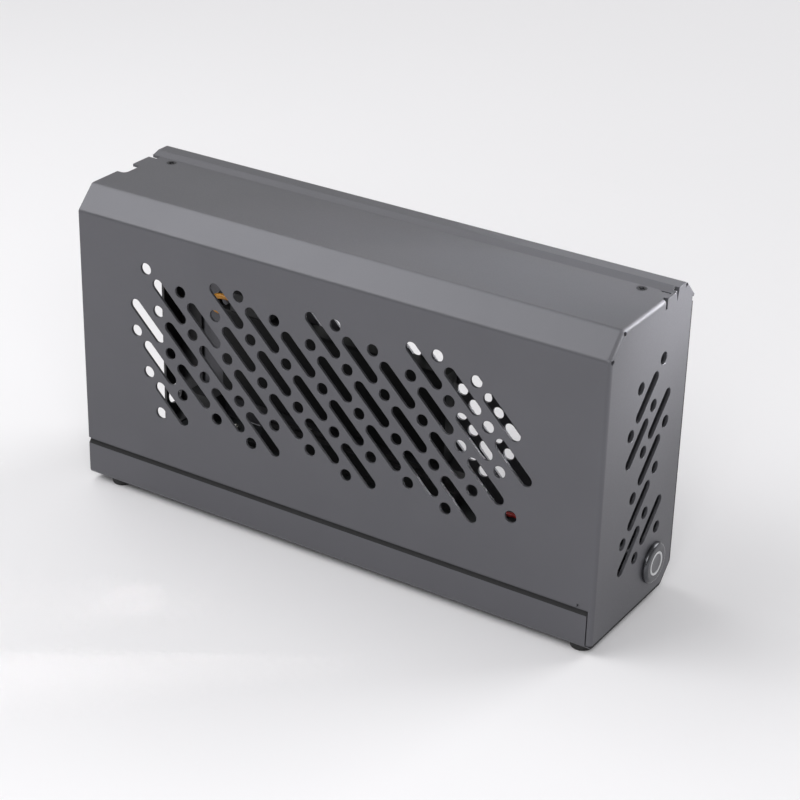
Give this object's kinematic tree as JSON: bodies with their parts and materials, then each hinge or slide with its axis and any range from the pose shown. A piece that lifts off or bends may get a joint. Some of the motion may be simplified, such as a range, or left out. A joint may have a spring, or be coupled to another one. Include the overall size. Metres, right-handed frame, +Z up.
{
  "type": "external graphics card enclosure",
  "caption": "Slim folded-steel case that houses a desktop graphics card outside a computer, with slanted vent slots, an open bracket end, a dock board and a power button.",
  "frame": {"origin": "middle of the footprint, at the underside of the feet", "axes": "+X along the case from its open bracket end to the button end, -Y out of the vented near panel, +Z up"},
  "size_m": [0.242, 0.065, 0.1322],
  "materials": {
    "case_paint": "satin dark grey powder coat on folded steel sheet",
    "frame_zinc": "black zinc on folded steel strip",
    "screw_black": "black oxide",
    "foot_rubber": "matt black rubber",
    "board_black": "black solder mask on glass laminate",
    "part_black": "moulded black plastic",
    "module_black": "black moulded case",
    "bright_steel": "plated steel",
    "brass_stud": "turned brass",
    "sink_aluminium": "black anodised",
    "coil_grey": "pressed iron powder",
    "can_aluminium": "bare drawn can",
    "bezel_dark": "glossy dark plating",
    "ring_white": "clear-white light ring",
    "cap_metal": "turned, satin",
    "wire_yellow": "soft insulation",
    "wire_black": "soft insulation",
    "wire_red": "soft insulation"
  },
  "bodies": {
    "enclosure": {"cover": "case_paint", "chassis": "case_paint", "bracket_frame": "frame_zinc", "cover_straps": "frame_zinc", "cover_screws": "screw_black", "board_screws": "bright_steel", "board_standoffs": "brass_stud", "feet": "foot_rubber", "dock_board": "board_black", "card_slot": "part_black", "data_port_shell": "bright_steel", "data_port_tongue": "part_black", "power_inlet": "part_black", "power_inlet_pin": "bright_steel", "interface_chip": "part_black", "chip_heatsink": "sink_aluminium", "inductors": "coil_grey", "capacitors": "can_aluminium", "switch_header": "part_black", "power_module": "module_black", "lead_plug": "part_black", "lead_wire_yellow": "wire_yellow", "lead_wire_black": "wire_black", "button_housing": "bezel_dark", "light_ring": "ring_white", "button_nut": "bright_steel", "button_terminals": "bright_steel", "switch_wire_red": "wire_red", "switch_wire_black": "wire_black"},
    "button": {"button_cap": "cap_metal"},
    "latch": {"slot_latch": "part_black"}
  },
  "joints": [
    {"name": "button_press", "type": "slide", "parent": "enclosure", "child": "button", "axis": [-1, 0, 0], "range_m": [0, 0.0015], "stiffness_N_per_m": 1500},
    {"name": "latch_turn", "type": "hinge", "parent": "enclosure", "child": "latch", "pos_m": [0.02697, 0.0176, 0.016], "axis": [0, 1, 0], "range_deg": [0, 35]}
  ]
}
